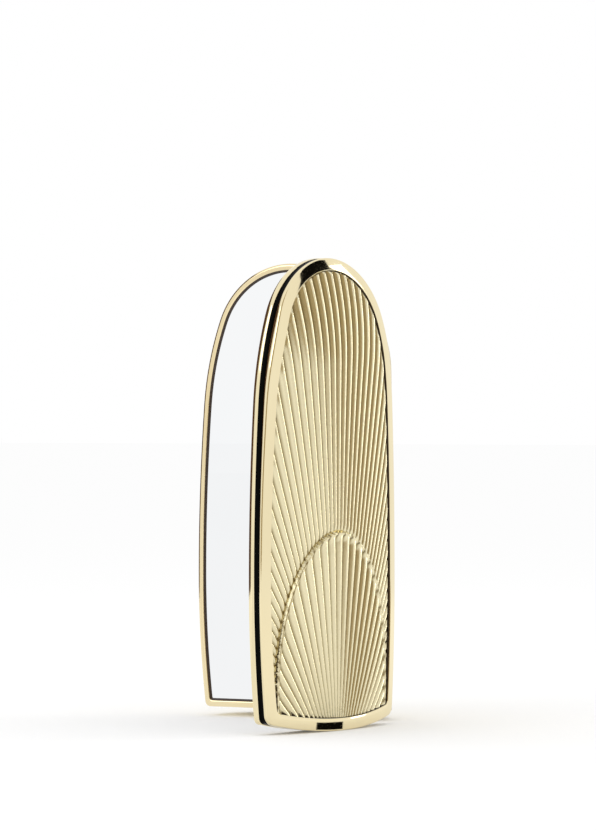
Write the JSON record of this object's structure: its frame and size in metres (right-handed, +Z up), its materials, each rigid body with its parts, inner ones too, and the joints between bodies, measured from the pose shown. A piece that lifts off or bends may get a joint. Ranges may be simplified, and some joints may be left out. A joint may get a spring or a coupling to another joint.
{
  "type": "lipstick case",
  "caption": "Arched gold lipstick case with a domed, fan-pleated lid on an upright hinge, an inner mirror and a slide-out twist-up refill.",
  "frame": {"origin": "middle of the refill foot's flat underside", "axes": "+X towards the hinge side, +Y towards the back of the housing, +Z up"},
  "size_m": [0.0402, 0.0538, 0.0808],
  "materials": {
    "gold_shell": "polished pale gold plate",
    "gold_frame": "polished pale gold plate",
    "gold_bezel": "mirror-polished pale gold plate",
    "gold_fan": "satin pale gold plate, pleated",
    "gold_refill": "satin pale gold plate",
    "mirror_glass": "clear silvered glass",
    "dark_backing": "matte",
    "grey_liner": "matte",
    "ivory_plastic": "matte",
    "steel": "brushed",
    "magnet": "nickel plated",
    "black_band": "gloss black",
    "aluminium_tube": "satin",
    "stick": "soft sheen"
  },
  "bodies": {
    "housing": {"rear_shell": "gold_shell", "front_frame": "gold_frame", "housing_mirror": "mirror_glass", "mirror_backing": "dark_backing", "refill_sleeve": "grey_liner", "retaining_ring": "ivory_plastic", "hinge_pin": "steel", "housing_magnet": "magnet"},
    "lid": {"lid_pan": "gold_frame", "lid_mirror": "mirror_glass", "lid_band": "black_band", "lid_bezel": "gold_bezel", "fan_plate": "gold_fan", "lid_magnet": "magnet"},
    "refill": {"cartridge_shell": "gold_refill", "spiral_sleeve": "grey_liner"},
    "foot": {"refill_base": "gold_refill", "base_weight": "steel", "slotted_tube": "aluminium_tube"},
    "stick": {"carrier_cup": "ivory_plastic", "lipstick_bullet": "stick"}
  },
  "joints": [
    {"name": "lid_hinge", "type": "hinge", "parent": "housing", "child": "lid", "pos_m": [0.0185, -0.00915, 0], "axis": [0, 0, 1], "range_deg": [-78.5, 50]},
    {"name": "refill_slide", "type": "slide", "parent": "housing", "child": "refill", "axis": [0, 0, -1], "range_m": [0, 0.048]},
    {"name": "foot_twist", "type": "hinge", "parent": "refill", "child": "foot", "pos_m": [0, 0, 0], "axis": [0, 0, 1], "range_deg": [0, 360]},
    {"name": "stick_lift", "type": "slide", "parent": "foot", "child": "stick", "axis": [0, 0, 1], "range_m": [0, 0.01605]}
  ],
  "couplings": [
    {"joint": "stick_lift", "follows": "foot_twist", "m_per_rad": 0.0025465}
  ]
}
